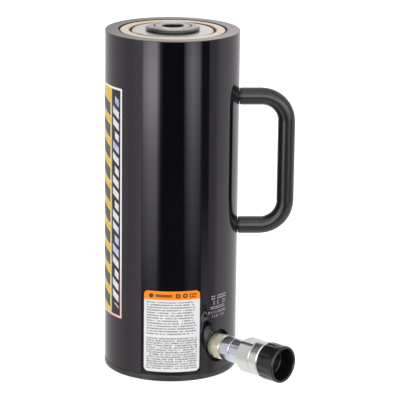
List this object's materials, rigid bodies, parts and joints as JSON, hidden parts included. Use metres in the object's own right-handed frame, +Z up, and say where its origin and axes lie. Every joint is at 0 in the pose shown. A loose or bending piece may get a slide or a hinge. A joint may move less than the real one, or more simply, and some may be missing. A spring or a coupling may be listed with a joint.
{
  "type": "hydraulic cylinder",
  "caption": "Single-acting spring-return hydraulic cylinder: black aluminium barrel, base plate, side handle, stop ring, grooved saddle and quick coupler with dust cap.",
  "frame": {"origin": "centre of the base plate's underside, which the cylinder stands on", "axes": "+Z up along the plunger's axis, +X towards the carrying handle; the coupler leaves the barrel half way between +X and -Y"},
  "size_m": [0.1869, 0.1834, 0.3416],
  "materials": {
    "hardcoat_aluminium": "satin black hard anodised, fine turning marks",
    "blackened_steel": "black oxide, slightly worn",
    "yellow_chromate_steel": "turned, yellow chromate",
    "machined_aluminium": "turned, pale grey anodised",
    "hardened_steel": "turned, dark grey",
    "black_handle_steel": "satin black coated",
    "bright_zinc": "bright zinc plated",
    "yellow_zinc": "yellowish zinc plated",
    "black_moulded_plastic": "moulded, semi gloss",
    "black_rubber": "matte",
    "blue_polyurethane": "satin",
    "brown_composite": "fabric-filled resin",
    "oiled_spring_steel": "oiled",
    "black_oxide_screw": "black oxide",
    "side_decal_print": "printed vinyl",
    "info_label_print": "printed vinyl"
  },
  "bodies": {
    "cylinder": {"cylinder_body": "hardcoat_aluminium", "base_plate": "blackened_steel", "base_screw_1": "black_oxide_screw", "base_screw_2": "black_oxide_screw", "base_screw_3": "black_oxide_screw", "base_screw_4": "black_oxide_screw", "stop_ring": "yellow_chromate_steel", "ring_bearing": "brown_composite", "rod_wiper": "black_rubber", "handle": "black_handle_steel", "handle_stud_lower": "black_oxide_screw", "handle_stud_upper": "black_oxide_screw", "coupler_nipple": "yellow_zinc", "coupler_rear_body": "bright_zinc", "coupler_front_body": "bright_zinc", "poppet_spring": "oiled_spring_steel", "spring_anchor_lower": "oiled_spring_steel", "return_spring": "oiled_spring_steel", "side_decal": "side_decal_print", "info_label": "info_label_print"},
    "ram": {"plunger": "machined_aluminium", "piston_u_cup": "blue_polyurethane", "backup_ring": "brown_composite", "piston_bearing": "brown_composite", "spring_anchor_upper": "oiled_spring_steel"},
    "load_saddle": {"saddle": "hardened_steel", "saddle_o_ring": "black_rubber"},
    "coupler_nut": {"coupler_collar": "bright_zinc"},
    "coupler_valve": {"coupler_poppet": "bright_zinc", "poppet_seal": "black_rubber"},
    "coupler_cap": {"dust_cap": "black_moulded_plastic"}
  },
  "joints": [
    {"name": "plunger_stroke", "type": "slide", "parent": "cylinder", "child": "ram", "axis": [0, 0, 1], "range_m": [0, 0.2], "stiffness_N_per_m": 2500, "springref_m": -0.12, "deforming": ["return_spring"]},
    {"name": "saddle_lift", "type": "slide", "parent": "ram", "child": "load_saddle", "axis": [0, 0, 1], "range_m": [0, 0.03]},
    {"name": "collar_spin", "type": "hinge", "parent": "cylinder", "child": "coupler_nut", "pos_m": [0.07778, -0.07778, 0.031], "axis": [0.7071, -0.7071, 0], "continuous": true},
    {"name": "poppet_slide", "type": "slide", "parent": "cylinder", "child": "coupler_valve", "axis": [-0.7071, 0.7071, 0], "range_m": [0, 0.004], "stiffness_N_per_m": 500, "springref_m": -0.008, "deforming": ["poppet_spring"]},
    {"name": "dust_cap_pull", "type": "slide", "parent": "coupler_nut", "child": "coupler_cap", "axis": [0.7071, -0.7071, 0], "range_m": [0, 0.03]}
  ]
}
